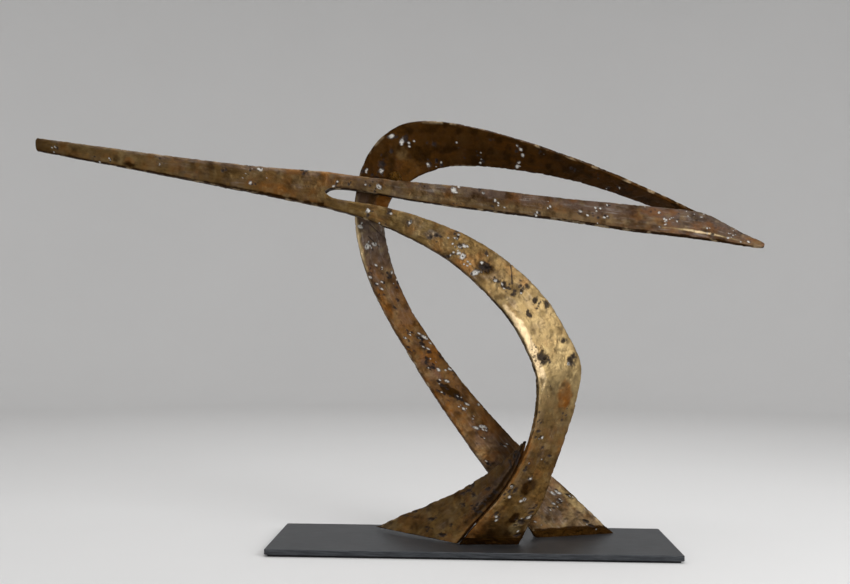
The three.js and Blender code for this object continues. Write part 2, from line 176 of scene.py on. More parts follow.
# Main zones of tone, their places rounded to tenths: tone, casting, shares of its length and of its
# half width towards the outer edge, reach along it in mm and across as a share, strength, and the side: 1
# viewer's, 0 both. A negative strength takes the tone away.
PATCHES = [
    # painted reflection: violet-grey along the spear's top edge; painted shade: umber along its underside
    ("violet", "spear_tip", 1.0, 0.9, 330, 0.4, 0.8, 0),
    ("umber", "spear_root", 0.0, -1.0, 330, 0.2, 0.8, 0),
    ("copper", "spear_tip", 0.6, -0.2, 10, 0.5, 0.9, 1),
    ("umber", "spear_tip", 0.6, -0.6, 10, 0.4, 0.8, 1),
    ("copper", "spear_root", 0.6, -0.5, 40, 0.4, 0.8, 1),
    # painted light on the blade: violet-grey on its up-facing upper half, olive gold on its lower half, and
    # painted shade in umber along its underside
    ("violet", "blade", 0.5, 0.6, 330, 0.6, 0.6, 0),
    ("gold", "blade", 0.4, -0.6, 260, 0.4, 0.2, 1),
    ("umber", "blade", 0.2, -1.0, 400, 0.1, 0.9, 0),
    ("copper", "beak_plate", 0.1, 0.5, 24, 0.4, 0.5, 1),
    ("gold", "beak_plate", 0.5, -0.6, 60, 0.1, 1.0, 1),
    ("worn", "beak_plate", 0.5, -0.6, 30, 0.1, 1.0, 1),
    ("copper", "beak_plate", 0.9, 0.0, 26, 0.9, 0.2, 1),
    ("copper", "arch_tail", 0.5, 0.0, 40, 0.5, 0.6, 1),
    ("copper", "arch", 0.7, 0.4, 28, 0.4, 0.8, 1),
    ("gold", "arch_bend", 0.4, 0.1, 14, 0.3, 0.6, 1),
    ("violet", "arch_bend", 0.9, 0.5, 26, 0.4, 0.9, 1),
    ("copper", "arch_bend", 0.9, -0.6, 18, 0.4, 1.0, 1),
    ("umber", "arch_bend", 0.9, -0.6, 24, 0.5, -0.6, 1),
    ("gold", "rear_leg_upper", 0.2, 0.9, 60, 0.2, 1.0, 1),
    ("worn", "rear_leg_upper", 0.2, 0.9, 50, 0.1, 0.8, 1),
    ("copper", "rear_leg_upper", 0.8, 0.6, 30, 0.4, 0.6, 1),
    ("violet", "rear_leg_lower", 0.3, 0.2, 26, 0.4, 0.9, 1),
    ("umber", "rear_leg_lower", 0.5, 0.1, 14, 0.4, 0.8, 1),
    ("violet", "rear_leg_lower", 0.9, 0.1, 28, 0.5, 0.8, 1),
    ("violet", "rear_flare", 0.1, 0.3, 22, 0.5, 0.9, 1),
    ("violet", "rear_flare", 0.8, 0.1, 20, 0.3, 0.8, 1),
    ("gold", "rear_flare", 0.6, -0.8, 34, 0.2, 0.7, 1),
    ("umber", "rear_flare", 1.0, 0.0, 5, 2.0, 0.9, 0),
    ("violet", "front_leg", 0.1, -0.1, 12, 0.4, 0.8, 1),
    ("copper", "front_leg", 0.4, -0.8, 30, 0.3, 0.6, 1),
    ("umber", "front_leg", 0.5, -0.1, 15, 0.4, 0.6, 1),
    ("violet", "front_leg", 0.8, -0.4, 20, 0.2, 0.9, 1),
    # painted highlight: a bright band along the knee's inner edge
    ("worn", "knee", 0.1, -0.8, 90, 0.2, 0.8, 1),
    ("copper", "knee", 0.7, 0.3, 26, 0.4, 0.9, 1),
    ("gold", "knee", 0.7, 0.3, 24, 0.4, -0.6, 1),
    ("umber", "shin", 0.5, 0.0, 16, 0.4, 0.6, 1),
    ("umber", "shin", 0.8, 0.2, 12, 0.2, 0.9, 1),
    ("gold", "shin", 0.9, 0.5, 14, 0.3, 0.8, 1),
    ("copper", "shin", 0.9, -0.7, 24, 0.3, 0.9, 1),
    # these two turn the painted shade on the shin's narrow inner side, along the crease with the fin, from
    # umber to a red-brown painted crease shade
    ("umber", "shin", 0.5, -1.0, 130, 0.4, -0.7, 0),
    ("copper", "shin", 0.5, -1.0, 130, 0.2, 0.6, 0),
    ("violet", "fin", 0.3, 0.5, 70, 0.5, 0.5, 1),
    ("umber", "fin", 0.3, 0.9, 130, 0.3, 0.6, 1),
]
# Casting pits strewn over every casting, front and back: how many groups, the usual radius in mm, and
# the chance that a pit holds pale residue.
PITTING = {
    "spear_tip": (7, 1.4, 0.3), "spear_root": (9, 1.5, 0.2),
    "blade_root": (4, 1.6, 0.3), "blade": (12, 1.6, 0.4), "beak_plate": (12, 1.6, 0.5),
    "arch_tail": (6, 1.6, 0.3), "arch": (12, 1.8, 0.3), "arch_bend": (12, 1.9, 0.3),
    "rear_leg_upper": (14, 1.7, 0.2), "rear_leg_lower": (22, 2.1, 0.3), "rear_flare": (14, 2.1, 0.3),
    "front_leg_root": (4, 2.0, 0.3), "front_leg": (16, 2.2, 0.2), "knee": (10, 1.7, 0.0),
    "shin": (13, 2.1, 0.2), "fin": (20, 2.3, 0.0),
}
# The few groups that stand out, their places rounded to tenths: casting, shares of length and half
# width, how many pits, spread in mm, radius in mm, and the chance of residue.
GROUPS = [
    ("beak_plate", 0.2, -0.2, 8, 9, 1.6, 0.8),
    ("blade", 0.2, 0.5, 3, 5, 2.4, 1.0),
    ("blade", 0.6, 0.3, 3, 9, 2.0, 1.0),
    ("arch_bend", 0.3, 0.3, 7, 10, 2.2, 0.3),
    ("rear_leg_upper", 0.6, 0.4, 4, 8, 2.4, 0.4),
    ("rear_leg_lower", 0.3, 0.2, 12, 14, 2.2, 0.2),
    ("rear_leg_lower", 0.8, 0.1, 12, 14, 2.1, 0.6),
    ("rear_flare", 0.5, -0.5, 6, 7, 2.0, 0.8),
    ("front_leg", 0.3, 0.0, 8, 12, 2.8, 1.0),
    ("front_leg", 0.4, -0.5, 4, 6, 2.6, 1.0),
    ("front_leg", 0.9, 0.5, 8, 9, 2.2, 0.0),
    ("knee", 0.3, -0.5, 4, 7, 2.5, 0.0),
    ("knee", 0.4, 0.5, 6, 8, 2.7, 0.1),
    ("shin", 0.6, 0.1, 4, 6, 2.8, 0.5),
]
# Cracks and gouges, their ends rounded to tenths: casting, then shares of length and half width
# at each end.
CRACKS = [
    ("front_leg", 0.6, 0.9, 0.7, 0.2),
    ("rear_leg_upper", 0.1, 0.0, 0.2, -0.7),
    ("rear_leg_upper", 0.2, 0.2, 0.3, -0.4),
]
# Clouds of tone all over the bronze: tone, size in mm, seed and strength.
CLOUDS = [
    ("umber", 13, 101, 0.55), ("umber", 40, 113, 0.30), ("copper", 19, 127, 0.75),
    ("gold", 11, 131, 0.35), ("violet", 17, 149, 0.60), ("pit", 5, 151, 0.20),
]
# Noise behind each mark: size in mm, seed and octaves.
NOISES = {
    "waves": (42, 11, 2), "lumps": (13, 23, 2), "dents": (8, 29, 2), "grain": (3.2, 37, 2),
    "nicks": (7, 51, 2), "ragged": (11, 71, 3), "crumbled": (2.4, 83, 2), "scale": (5, 97, 2),
    "weld": (7, 61, 3),
}
CRACK_WIDTH = 0.9 * MM
CRACK_DEPTH = 0.8 * MM
KNOB = ("beak_plate", 0.5, 0.6, 7, 1.6)  # below the beak's upper edge: place, radius and height in mm
BEAD_HEIGHT = 0.15 * MM  # of a chased weld bead
FIN_ROOT = 3 * MM        # how far the fin's outer edge runs on into the shin


# ---------------------------------------------------------------- arrays
def smooth(low, high, values):
    """0 below low, 1 above high, and 3t^2 - 2t^3 between them."""
    t = np.clip((values - low) / (high - low), 0, 1)
    return t * t * (3 - 2 * t)


def signed_power(values, power):
    """The power of each size, with its sign kept."""
    return np.sign(values) * np.abs(values) ** power


def through_knots(knots, values, at):
    """Values at the given distances on a curve through the knots: cubics whose slope at each knot is
    that of the parabola through its neighbours."""
    shape = values.shape[1:]
    flat = values.reshape(len(knots), -1)
    gaps = np.diff(knots)[:, None]
    slopes = np.diff(flat, axis=0) / gaps
    tangents = np.empty_like(flat)
    tangents[1:-1] = (slopes[:-1] * gaps[1:] + slopes[1:] * gaps[:-1]) / (gaps[1:] + gaps[:-1])
    tangents[0] = slopes[0]
    tangents[-1] = slopes[-1]
    i = np.clip(np.searchsorted(knots, at, side="right") - 1, 0, len(knots) - 2)
    t = (at - knots[i])[:, None] / gaps[i]
    start = (2 * t - 3) * t * t + 1
    leave = ((t - 2) * t + 1) * t * gaps[i]
    arrive = (t - 1) * t * t * gaps[i]
    found = start * flat[i] + leave * tangents[i] + (1 - start) * flat[i + 1] + arrive * tangents[i + 1]
    return found.reshape(len(at), *shape)


def lattice(x, y, z, seed):
    """A fixed random number from -1 to 1 for each whole-numbered point, from mixed bits."""
    with np.errstate(over="ignore"):
        bits = x.astype(np.uint32) * np.uint32(374761393) + y.astype(np.uint32) * np.uint32(668265263)
        bits = bits + z.astype(np.uint32) * np.uint32(2246822519) + np.uint32(seed * 3266489917 % 2**32)
        bits = (bits ^ (bits >> np.uint32(15))) * np.uint32(2654435761)
        bits = (bits ^ (bits >> np.uint32(13))) * np.uint32(1274126177)
    return ((bits ^ (bits >> np.uint32(16))) & np.uint32(0xFFFFFF)) / float(0x7FFFFF) - 1


def noise(points, size, seed, octaves=1):
    """Smooth noise from -1 to 1 with lumps of the given size: random numbers at the corners of a cubic
    lattice, blended with 6t^5 - 15t^4 + 10t^3 along each axis. Each octave halves the size and height."""
    total = np.zeros(points.shape[:-1])
    height = 1.0
    for octave in range(octaves):
        place = points / (size / 2**octave) + 1000.0
        cell = np.floor(place).astype(np.int64)
        t = place - cell
        t = t * t * t * (t * (t * 6 - 15) + 10)
        x, y, z = cell[..., 0], cell[..., 1], cell[..., 2]
        layers = []
        for dz in (0, 1):
            rows = []
            for dy in (0, 1):
                near = lattice(x, y + dy, z + dz, seed + octave)
                far = lattice(x + 1, y + dy, z + dz, seed + octave)
                rows.append(near + (far - near) * t[..., 0])
            layers.append(rows[0] + (rows[1] - rows[0]) * t[..., 1])
        total += height * (layers[0] + (layers[1] - layers[0]) * t[..., 2])
        height /= 2
    return total


def named_noise(points, kind):
    """The noise that NOISES lists under a name."""
    size, seed, octaves = NOISES[kind]
    return noise(points, size * MM, seed, octaves)


# ---------------------------------------------------------------- reading the CAD castings
def merged(node):
    """A CAD node's distinct points in metres, and its triangles as numbers of those points."""
    mesh = frame["nodes"][node].data
    points = np.empty(len(mesh.vertices) * 3)
    mesh.vertices.foreach_get("co", points)
    points = points.reshape(-1, 3)
    corners = np.empty(len(mesh.loops), int)
    mesh.loops.foreach_get("vertex_index", corners)
    cells = np.round(points / SAME).astype(int)
    _, first, same = np.unique(cells, axis=0, return_index=True, return_inverse=True)
    return points[first], same.reshape(-1)[corners].reshape(-1, 3)


def first_ring(points, triangles, before, away):
    """Numbers of the points in a casting's first cross-section: those nearest the plane of the section
    before it, or else its flat end face at the point farthest away from the next casting."""
    if before is None:
        farthest = np.argmax(points @ away)
        a, b, c = (points[k] for k in triangles[(triangles == farthest).any(1)].T)
        normals = np.cross(b - a, c - a)
        normals /= np.linalg.norm(normals, axis=1, keepdims=True)
        offset = np.abs(points @ normals.T - (a * normals).sum(1))
        return np.argsort(offset[:, np.argmax((offset < SAME).sum(0))], kind="stable")[:RING]
    centre = before.mean(0)
    normal = np.linalg.svd(before - centre)[2][2]
    reach = np.linalg.norm(before - centre, axis=1).max() + NEXT_REACH
    offset = np.abs((points - centre) @ normal)
    offset[np.linalg.norm(points - centre, axis=1) > reach] = np.inf
    return np.argsort(offset, kind="stable")[:RING]


def cross_sections(node, before, away):
    """A casting's cross-sections in order: each is the unused points that share a triangle with the
    last one."""
    points, triangles = merged(node)
    unused = np.ones(len(points), bool)
    ring = first_ring(points, triangles, before, away)
    rings = []
    while len(ring):
        if len(ring) != RING:
            raise RuntimeError(f"{node}: a cross-section has {len(ring)} points, not {RING}")
        unused[ring] = False
        rings.append(points[ring])
        touched = np.unique(triangles[np.isin(triangles, ring).any(1)])
        ring = touched[unused[touched]]
    return rings


def in_order(ring):
    """A section's points sorted by their angle round its middle."""
    spokes = ring - ring.mean(0)
    across, through = np.linalg.svd(spokes)[2][:2]
    return ring[np.argsort(np.arctan2(spokes @ through, spokes @ across))]


def quarter_spokes(ring):
    """Directions from a section's middle to its points 0, 3, 6 and 9."""
    spokes = (ring - ring.mean(0))[:: RING // 4]
    return spokes / np.linalg.norm(spokes, axis=1, keepdims=True)


def aligned(ring, pattern):
    """The same section, started and turned so that its quarter points face as the pattern's do."""
    turns = [np.roll(way, k, axis=0) for way in (ring, ring[::-1]) for k in range(RING)]
    misses = [((quarter_spokes(turn) - quarter_spokes(pattern)) ** 2).sum() for turn in turns]
    return turns[int(np.argmin(misses))]


def numbered(rings, outward):
    """Sections numbered alike: point 0 at the outer edge and point 3 on the viewer's side, from the
    widest section, where edge and side are plain, to both ends."""
    widest = int(np.argmax([np.linalg.norm(ring - ring.mean(0), axis=1).max() for ring in rings]))
    ring = rings[widest]
    spokes = ring - ring.mean(0)
    edge = int(np.argmax(np.linalg.norm(spokes, axis=1)))
    if spokes[edge] @ outward < 0:
        edge += RING // 2
    ring = np.roll(ring, -edge, axis=0)
    if ring[3, 1] > ring[9, 1]:
        ring = np.roll(ring[::-1], 1, axis=0)
    rings[widest] = ring
    for i in range(widest - 1, -1, -1):
        rings[i] = aligned(rings[i], rings[i + 1])
    for i in range(widest + 1, len(rings)):
        rings[i] = aligned(rings[i], rings[i - 1])
    return rings


def middle(node):
    """The middle of a CAD node's box."""
    low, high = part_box(node)
    return (np.array(low) + np.array(high)) / 2


class Line:
    """A ribbon's centre line and, at each knot along it, half of its width and half of its thickness
    as vectors, and its squareness s, for the section |x/a|^s + |y/b|^s = 1."""

    def __init__(self, name, before=None):
        self.castings, outward, self.around, self.ends = RIBBONS[name]
        self.name = name
        away = np.array([0.0, 0.0, 1.0])
        if len(self.castings) > 1:
            away = middle(self.castings[0]) - middle(self.castings[1])
        rings, owner = [], []
        for i, node in enumerate(self.castings):
            found = cross_sections(node, before, away)
            before = found[-1]
            rings += found
            owner += [i] * len(found)
        rings = np.array(numbered([in_order(ring) for ring in rings], np.array(outward, float)))
        owner = np.array(owner)
        centre = rings.mean(1)
        distance = np.concatenate([[0], np.cumsum(np.linalg.norm(np.diff(centre, axis=0), axis=1))])
        self.last_ring = rings[-1]
        self.spans = [(distance[owner == i][0], distance[owner == i][-1]) for i in range(owner[-1] + 1)]
        keep = slice(
            NOSE_RINGS if self.ends[0] == "nose" else 0,
            len(rings) - (NOSE_RINGS if self.ends[1] == "nose" else 0),
        )
        self.knots = distance[keep]
        self.measure(rings[keep])

    def measure(self, rings):
        """Middle, half width, half thickness and squareness of every section. Point 1 stands at 30
        degrees, so its share of the half width is cos(30 degrees)^(2/s)."""
        self.centre = rings.mean(1)
        self.across = (rings[:, 0] - rings[:, 6]) / 2
        self.front = (rings[:, 3] - rings[:, 9]) / 2
        share = ((rings[:, 1] - self.centre) * self.across).sum(1) / (self.across**2).sum(1)
        self.squareness = 2 * math.log(math.cos(math.pi / 6)) / np.log(np.clip(share, 0.5, 0.99))

    def stretches(self):
        """(name, from, to) of every casting and weld along the line."""
        found = []
        for i, (node, (start, end)) in enumerate(zip(self.castings, self.spans)):
            first, last = i == 0, i == len(self.castings) - 1
            begin = start - (HALF_GAP if self.ends[0] == "joint" or not first else 0)
            finish = end + (HALF_GAP if self.ends[1] == "joint" or not last else 0)
            if not first:
                found.append((f"weld_{node}", found[-1][2], begin))
            found.append((node, begin, finish))
        return found


# ---------------------------------------------------------------- section outlines
def shared_out(outline, count):
    """Points spread along a closed outline, even in its length plus an extra for each turn it makes, so
    that corners get more of them. The first is the outline's first."""
    closed = np.vstack([outline, outline[:1]])
    steps = np.diff(closed, axis=0)
    lengths = np.linalg.norm(steps, axis=1)
    heading = np.unwrap(np.arctan2(steps[:, 1], steps[:, 0]))
    turns = np.abs(np.diff(heading, prepend=heading[0]))
    measure = np.concatenate([[0], np.cumsum(lengths + CORNER_EXTRA * turns / (2 * math.pi))])
    wanted = np.arange(count) * measure[-1] / count
    return np.stack([np.interp(wanted, measure, closed[:, k]) for k in (0, 1)], axis=1)


def section_outline(half_width, half_thickness, squareness):
    """A closed superellipse: x = a cos^(2/s), y = b sin^(2/s), signs kept, from the outer edge round."""
    angle = np.arange(OUTLINE_STEPS) * 2 * math.pi / OUTLINE_STEPS
    x = half_width * signed_power(np.cos(angle), 2 / squareness)
    y = half_thickness * signed_power(np.sin(angle), 2 / squareness)
    return np.stack([x, y], axis=1)


def part_of_outline(outline, low, high):
    """The stretch of a section between two widths, closed by straight cuts, from the middle of its
    outer side round the viewer's side."""
    levels = np.linspace(high, low, FACE_STEPS)
    upper = outline[outline[:, 1] >= 0]
    upper = upper[np.argsort(upper[:, 0])]
    thick = np.interp(levels, upper[:, 0], upper[:, 1])
    cut = np.linspace(0, 1, CUT_STEPS, endpoint=False)
    face = np.stack([levels, thick], axis=1)
    down = np.stack([np.full(CUT_STEPS, high), cut * thick[0]], axis=1)
    up = np.stack([np.full(CUT_STEPS, low), (1 - cut) * thick[-1]], axis=1)
    half = np.vstack([down, face, up, [[low, 0.0]]])
    return np.vstack([half, half[-2:0:-1] * (1, -1)])


def prong_outline(line, spear):
    """The first outline of a prong of the fork: the part of the spear's last section that it continues,
    in shares of the prong's own half width and half thickness."""
    width, thick = np.linalg.norm(spear.across[-1]), np.linalg.norm(spear.front[-1])
    own_width, own_thick = np.linalg.norm(line.across[0]), np.linalg.norm(line.front[0])
    shift = (line.centre[0] - spear.centre[-1]) @ spear.across[-1] / width
    whole = section_outline(width, thick, spear.squareness[-1])
    low, high = max(shift - own_width, -width), min(shift + own_width, width)
    part = part_of_outline(whole, low, high) - (shift, 0)
    return shared_out(part, line.around) / (own_width, own_thick)


def outlines(line):
    """Outline of the section at every knot, in shares of its half width and half thickness."""
    widths, thicks = np.linalg.norm(line.across, axis=1), np.linalg.norm(line.front, axis=1)
    found = [
        shared_out(section_outline(a, b, s), line.around) / (a, b)
        for a, b, s in zip(widths, thicks, line.squareness)
    ]
    return np.array(found)


# ---------------------------------------------------------------- fine surfaces
def end_rows(kind, length):
    """Distances of the extra rows in a closed end, from its tip."""
    if kind == "joint":
        return np.zeros(0)
    reach = NOSE if kind == "nose" else EASED
    turn = np.linspace(0, math.pi / 2, NOSE_ROWS if kind == "nose" else EASED_ROWS)
    return reach * (1 - np.cos(turn[1 if kind == "nose" else 0:-1]))


def end_shares(kind, inset, half_width, half_thickness):
    """How much of the section's width and thickness is left at a distance in from a closed end."""
    if kind == "joint":
        return np.ones((len(inset), 2))
    if kind == "nose":
        depth = np.clip(1 - inset / NOSE, 0, 1)
        share = (1 - depth**NOSE_POWER) ** (1 / NOSE_POWER)
        return np.stack([share, share], axis=1)
    depth = np.clip(1 - inset / EASED, 0, 1)
    back = EASED * (1 - np.sqrt(1 - depth**2))
    return np.stack([1 - back / half_width, 1 - back / half_thickness], axis=1)


class Skin:
    """A ribbon's fine surface: rows across it and columns round its section, from the outer edge over
    the viewer's side to the inner edge and back. along is each row's distance, wide each point's place
    from the centre line towards the outer edge, and side is 1 on the viewer's face and -1 behind."""

    def __init__(self, line, spear=None, step=ROW_STEP):
        self.line = line
        self.pieces = line.stretches()
        start, end = self.pieces[0][1], self.pieces[-1][2]
        rows = []
        self.rows_of = {}
        for i, (name, low, high) in enumerate(self.pieces):
            count = max(2, math.ceil((high - low) / step) + 1)
            row = np.linspace(low, high, count)
            if i == 0:
                extra = start + end_rows(line.ends[0], high - low)
                row = np.union1d(extra, row[row > extra[-1] + step / 2]) if len(extra) else row
            if i == len(self.pieces) - 1:
                extra = end - end_rows(line.ends[1], high - low)[::-1]
                row = np.union1d(row[row < extra[0] - step / 2], extra) if len(extra) else row
            skip = 1 if rows else 0
            first = sum(len(r) for r in rows) - skip
            rows.append(row[skip:])
            self.rows_of[name] = (first, first + len(row) - 1)
        self.along = np.concatenate(rows)
        known = (line.centre, line.across, line.front, outlines(line))
        centre, across, front, shape = (through_knots(line.knots, values, self.along) for values in known)
        if spear is not None:
            leave = smooth(0, 1, (self.along - start) / FORK_BLEND)[:, None, None]
            shape = shape * leave + prong_outline(line, spear) * (1 - leave)
        widths, thicks = np.linalg.norm(across, axis=1), np.linalg.norm(front, axis=1)
        left = end_shares(line.ends[0], self.along - start, widths, thicks)
        left *= end_shares(line.ends[1], end - self.along, widths, thicks)
        shape = shape * left[:, None]
        self.width, self.out = widths, across / widths[:, None]
        self.wide = shape[..., 0] * widths[:, None]
        self.share = shape[..., 0]
        self.side = np.clip(shape[..., 1], -1, 1)
        self.points = (
            centre[:, None]
            + across[:, None] * shape[..., :1]
            + front[:, None] * shape[..., 1:]
        )
        self.thick = shape[..., 1] * thicks[:, None]
        self.normals = self.find_normals()

    def find_normals(self):
        """Outward unit normals: the cross product of the steps along the rows and round the section."""
        round_step = np.roll(self.points, -1, axis=1) - np.roll(self.points, 1, axis=1)
        row_step = np.gradient(self.points, axis=0)
        normals = np.cross(round_step, row_step)
        normals /= np.linalg.norm(normals, axis=2, keepdims=True) + 1e-12
        outwards = ((self.points - self.points.mean(1, keepdims=True)) * normals).sum()
        self.turned = outwards < 0
        return -normals if self.turned else normals


LINES = {"spear": Line("spear")}
for ribbon in ("blade", "front"):
    LINES[ribbon] = Line(ribbon, LINES["spear"].last_ring)
for ribbon in ("rear", "fin"):
    LINES[ribbon] = Line(ribbon)


# ---------------------------------------------------------------- cast relief
def relief(skin, rough):
    """Depth pressed into a ribbon, in metres: broad waves, hammered lumps, dents and a fine grain, all
    inward, with nicks along the edges."""
    cast = bpy.context.scene.casting
    p = skin.points
    waves, lumps, grain = (named_noise(p, kind) for kind in ("waves", "lumps", "grain"))
    dents = smooth(0.0, 0.8, named_noise(p, "dents"))
    edge = smooth(0.9, 1.0, np.abs(skin.share))
    nicks = smooth(0.45, 0.9, named_noise(p, "nicks")) * edge
    sink = cast.waves * (0.5 - 0.4 * waves) + rough * cast.lumps * (0.5 - 0.4 * lumps)
    return sink + rough * cast.dents * dents - rough * cast.grain * grain + cast.nicks * nicks


class Marks:
    """What is laid on a ribbon's skin: the weight of each tone, and the depth pressed in, in metres."""

    def __init__(self, skin):
        self.skin = skin
        self.spans = {name: (low, high) for name, low, high in skin.pieces}
        self.tones = {tone: np.zeros(skin.wide.shape) for tone in TONES}
        self.ragged = named_noise(skin.points, "ragged")
        self.crumbled = named_noise(skin.points, "crumbled")
        self.depth = relief(skin, ROUGHNESS_OF.get(skin.line.name, FOOT_ROUGHNESS))
        self.reach = np.zeros(skin.wide.shape)

    def place(self, node, share):
        """Distance along the ribbon of a share of a casting's length."""
        low, high = self.spans[node]
        return low + share * (high - low)

    def rows_near(self, at, reach):
        """The rows within reach of a distance along the ribbon."""
        first, last = np.searchsorted(self.skin.along, (at - reach, at + reach))
        return slice(int(first), int(last) + 1)

    def graded(self, stations):
        """Tones that drift from one station to the next along the ribbon."""
        at = [self.place(node, share) for node, share, *_ in stations]
        for k, tone in enumerate(("gold", "violet", "copper", "umber")):
            self.tones[tone] += np.interp(self.skin.along, at, [row[2 + k] for row in stations])[:, None]

    def clouded(self):
        """Every tone also comes and goes in clouds of its own size."""
        left = 1 - 0.75 * np.clip(self.tones["umber"], 0, 1)
        for tone, size, seed, strength in CLOUDS:
            cloud = noise(self.skin.points, size * MM, seed, 3)
            self.tones[tone] += strength * left * smooth(-0.1, 1.2, cloud)

    def patch(self, tone, node, share, across, reach, wide, strength, side):
        """An oval of one tone with a ragged outline."""
        skin = self.skin
        at = self.place(node, share)
        rows = self.rows_near(at, 1.6 * reach * MM)
        away = np.hypot((skin.along[rows, None] - at) / (reach * MM), (skin.share[rows] - across) / wide)
        weight = strength * (1 - smooth(0.5, 1.1, away + 0.3 * self.ragged[rows]))
        if side:
            weight = weight * smooth(-0.3, 0.3, side * skin.side[rows])
        self.tones[tone][rows] += weight

    def pit(self, at, wide, radius, stretch, turn, filled, face):
        """An oval bowl (1 - (d/r)^2)^2 with a low rim, drawn out by stretch along a line at the angle
        turn. A filled one holds pale residue."""
        skin = self.skin
        rows = self.rows_near(at, 2 * radius * stretch)
        x, y = skin.along[rows, None] - at, skin.wide[rows] - wide
        longways = (x * math.cos(turn) + y * math.sin(turn)) / stretch
        sideways = (y * math.cos(turn) - x * math.sin(turn)) * math.sqrt(stretch)
        away = np.hypot(longways, sideways) / radius
        uneven = 1 + 0.35 * self.crumbled[rows] + 0.35 * self.ragged[rows]
        away = np.where(face * skin.side[rows] > 0.2, away * np.clip(uneven, 0.4, 2), 9.0)
        bowl = np.clip(1 - away**2, 0, 1) ** 2
        rim = np.exp(-(((away - 1.2) / 0.2) ** 2))
        self.depth[rows] += radius * ((0.12 if filled else 0.5) * bowl - 0.07 * rim)
        dark = self.tones["pit"][rows]
        np.maximum(dark, 0.9 * (1 - smooth(0.4, 1.25, away)), out=dark)
        if filled:
            pale = self.tones["residue"][rows]
            crumbs = smooth(-0.9, 0.0, self.crumbled[rows])
            np.maximum(pale, crumbs * (1 - smooth(0.45, 0.95, away)), out=pale)

    def group(self, draw, at, wide, count, spread, radius, chance, face):
        """Several pits scattered about one place."""
        start, end = self.skin.along[[0, -1]]
        for _ in range(count):
            along = np.clip(at + 0.6 * spread * draw.normal(), start + 2 * MM, end - 2 * MM)
            half = np.interp(along, self.skin.along, self.skin.width)
            across = np.clip(wide + 0.6 * spread * draw.normal(), -EDGE_SIDE * half, EDGE_SIDE * half)
            size, stretch, turn = draw.lognormal(0, 0.4), draw.uniform(1.0, 1.4), draw.uniform(0, math.pi)
            self.pit(along, across, radius * size, stretch, turn, draw.random() < chance, face)

    def strewn(self, draw, node):
        """Groups of pits over a whole casting, front and back."""
        count, radius, chance = PITTING[node]
        for face in (1, -1):
            for _ in range(count):
                at = self.place(node, draw.uniform(0.02, 0.98))
                half = np.interp(at, self.skin.along, self.skin.width)
                wide = draw.uniform(-0.85, 0.85) * half
                members, spread = int(draw.integers(2, 7)), draw.uniform(3, 10) * MM
                self.group(draw, at, wide, members, spread, radius * MM, chance, face)

    def crack(self, node, share, across, to_share, to_across):
        """A straight groove between two places on the viewer's face."""
        skin = self.skin
        start, end = self.place(node, share), self.place(node, to_share)
        rows = self.rows_near((start + end) / 2, abs(end - start) / 2 + 3 * MM)
        half = skin.width[rows, None]
        run = np.array([end - start, (to_across - across) * half.mean()])
        x = skin.along[rows, None] - start
        y = skin.wide[rows] - across * half
        t = np.clip((x * run[0] + y * run[1]) / (run @ run), 0, 1)
        away = np.hypot(x - t * run[0], y - t * run[1]) + 0.8 * MM * self.ragged[rows] * 0.5
        weight = (1 - smooth(0.4 * CRACK_WIDTH, CRACK_WIDTH, np.abs(away))) * (skin.side[rows] > 0.2)
        self.depth[rows] += CRACK_DEPTH * weight
        dark = self.tones["pit"][rows]
        np.maximum(dark, weight, out=dark)

    def knob(self, node, share, across, radius, height):
        """A raised lump h(1 - (d/r)^2)^2 on the viewer's face."""
        skin = self.skin
        at = self.place(node, share)
        rows = self.rows_near(at, radius * MM)
        x, y = skin.along[rows, None] - at, skin.wide[rows] - across * skin.width[rows, None]
        bowl = np.clip(1 - (x**2 + y**2) / (radius * MM) ** 2, 0, 1) ** 2 * smooth(0.0, 0.6, skin.side[rows])
        self.depth[rows] -= height * MM * bowl * (1 + 0.4 * self.crumbled[rows])
        self.tones["violet"][rows] += 0.5 * bowl

    def beads(self):
        """Welds stand a little proud, in ripples across the ribbon."""
        for name, (low, high) in self.spans.items():
            if name.startswith("weld_"):
                rows = self.rows_near((low + high) / 2, (high - low) / 2)
                t = (self.skin.along[rows, None] - low) / (high - low)
                ripple = 0.7 + 0.3 * np.sin(self.skin.wide[rows] / (1.1 * MM))
                self.depth[rows] -= BEAD_HEIGHT * np.sin(np.pi * np.clip(t, 0, 1)) * ripple
                self.tones["copper"][rows] += 0.15 * np.sin(np.pi * np.clip(t, 0, 1))

    def edges(self):
        """Edges are rubbed brighter in places, and the narrow inner side gets painted shade in umber; along
        the fin's root, umber gives way to copper as a red-brown painted crease shade.
        """
        rim = smooth(0.86, 0.99, np.abs(self.skin.share))
        self.tones["worn"] += 0.4 * rim * smooth(0.1, 0.9, self.ragged)
        # painted shade: umber on the narrow inner side
        thin = 1 - smooth(0.5, 0.95, np.abs(self.skin.side))
        self.tones["umber"] += 0.6 * thin * (self.skin.share < 0)
        if self.skin.line.name == "fin":
            rooted = smooth(0.8, 1.0, self.skin.share)
            self.depth *= 1 - rooted
            self.reach = FIN_ROOT * rooted
            self.tones["worn"] *= 1 - rooted
            # painted crease shade: red-brown in place of umber along the fin's root
            self.tones["umber"] -= 0.4 * rooted
            self.tones["copper"] += 0.4 * rooted

    def finished(self):
        """The surface with its depth pressed in, kept inside the CAD model's box, and its weights."""
        points = self.skin.points - self.skin.normals * self.depth[..., None]
        points += self.skin.out[:, None] * self.reach[..., None]
        points = np.clip(points, np.array(CAD_BOX[0]) + LEVEL, np.array(CAD_BOX[1]) - LEVEL)
        weights = {tone: np.clip(values, 0, 1) for tone, values in self.tones.items()}
        along = np.broadcast_to(self.skin.along[:, None], self.skin.wide.shape)
        weights["flow"] = np.stack([FLOW * along, self.skin.wide, self.skin.thick], axis=-1)
        return points, weights


# ---------------------------------------------------------------- meshes
def quads_between(number):
    """Four-sided faces between each two rows of a grid of point numbers that closes on itself."""
    near, far = number[:-1], number[1:]
    return np.stack([near, np.roll(near, -1, 1), np.roll(far, -1, 1), far], axis=-1).reshape(-1, 4)


